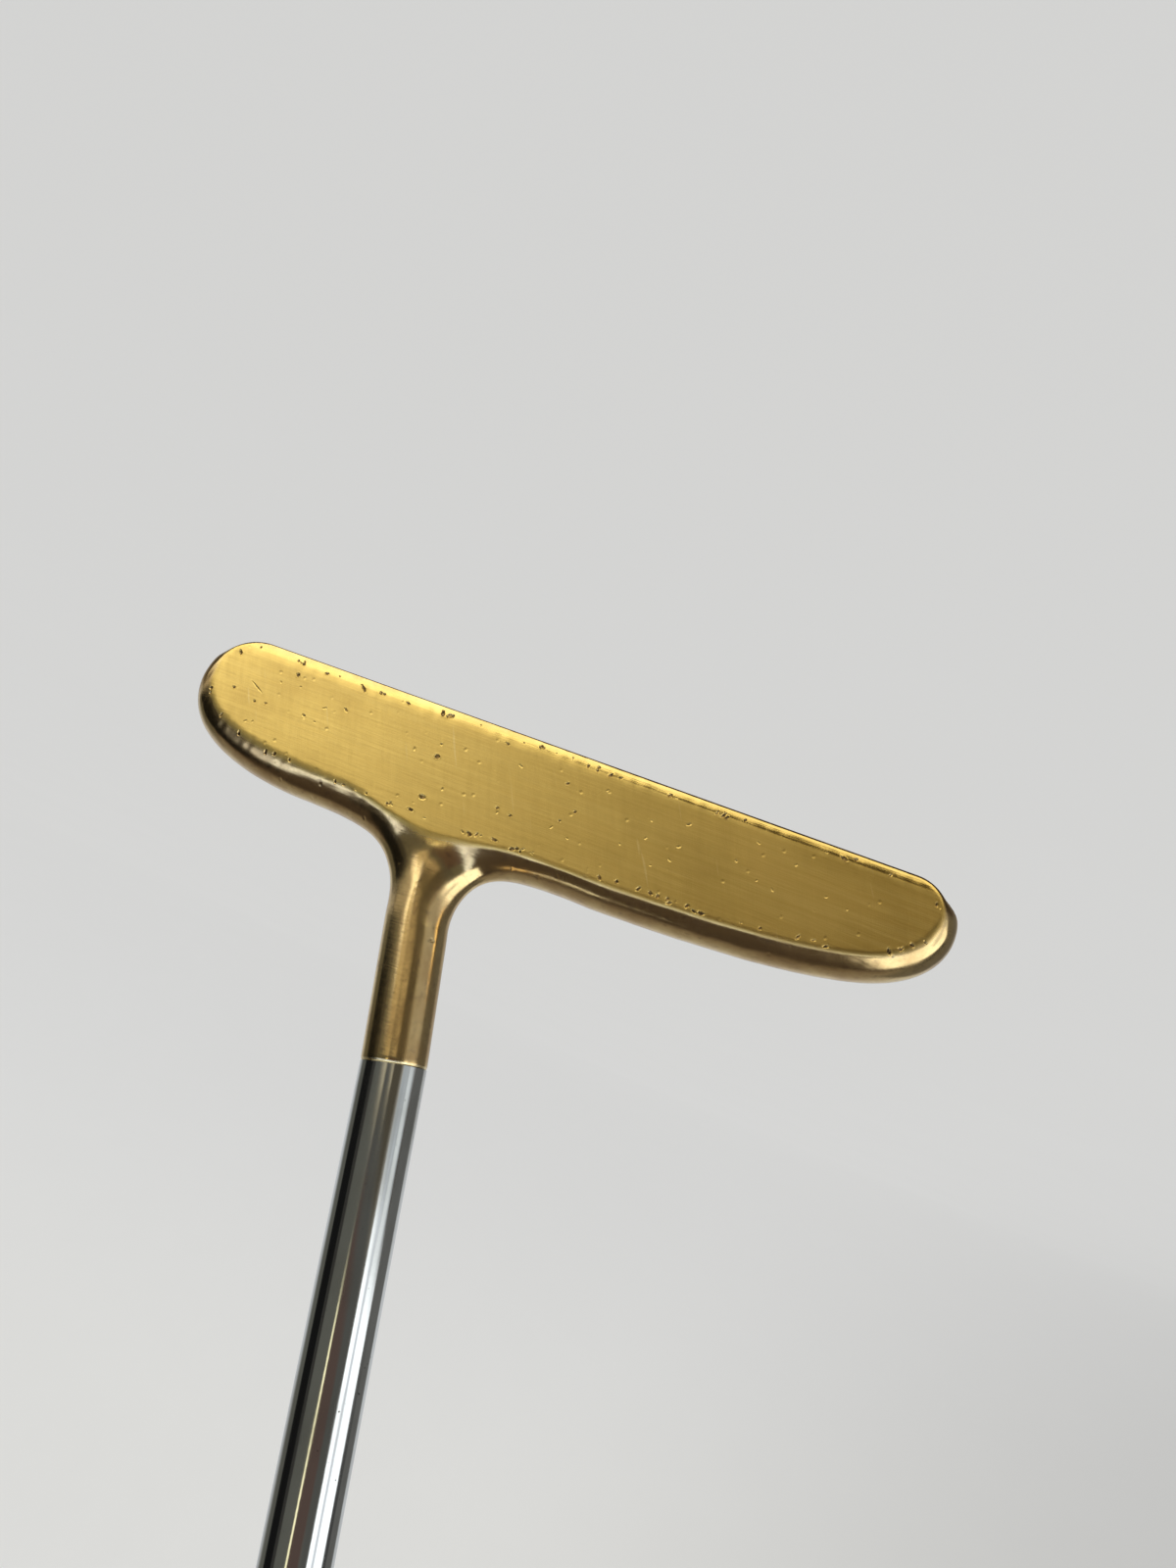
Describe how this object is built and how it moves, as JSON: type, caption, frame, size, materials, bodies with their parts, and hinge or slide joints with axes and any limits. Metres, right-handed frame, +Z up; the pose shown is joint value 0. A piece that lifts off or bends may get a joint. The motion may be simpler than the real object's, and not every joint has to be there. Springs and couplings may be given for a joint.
{
  "type": "blade putter",
  "caption": "Two-way blade putter with a flat-faced cast brass head, a flush hosel, a stepped steel shaft and a leather-wrapped paddle grip.",
  "frame": {"origin": "on the flat sole, midway between the two faces and near the middle of the blade's length", "axes": "+Z up with the sole on the ground at address, +X along the blade toward the end that the shaft leans to, +Y out of one striking face"},
  "size_m": [0.2638, 0.0272, 0.8668],
  "materials": {
    "cast_brass": "fine brushed faces with small pits, dull rounded rim",
    "chrome_steel": "polished chrome plate with light wear",
    "cured_epoxy": "hard amber glue",
    "plug_wood": "plain turned hardwood",
    "grip_tape": "matt adhesive tape",
    "black_rubber": "matt moulded rubber",
    "black_leather": "worn, perforated",
    "cap_plastic": "lightly rubbed moulding",
    "screw_brass": "turned",
    "waxed_thread": "waxed"
  },
  "bodies": {
    "root": {"putter_head": "cast_brass", "shaft": "chrome_steel", "shaft_epoxy": "cured_epoxy", "butt_plug": "plug_wood", "grip_tape": "grip_tape", "underlisting": "black_rubber", "leather_wrap": "black_leather", "butt_cap": "cap_plastic", "cap_screw": "screw_brass", "grip_collar": "black_rubber", "end_whipping": "waxed_thread"}
  },
  "joints": []
}
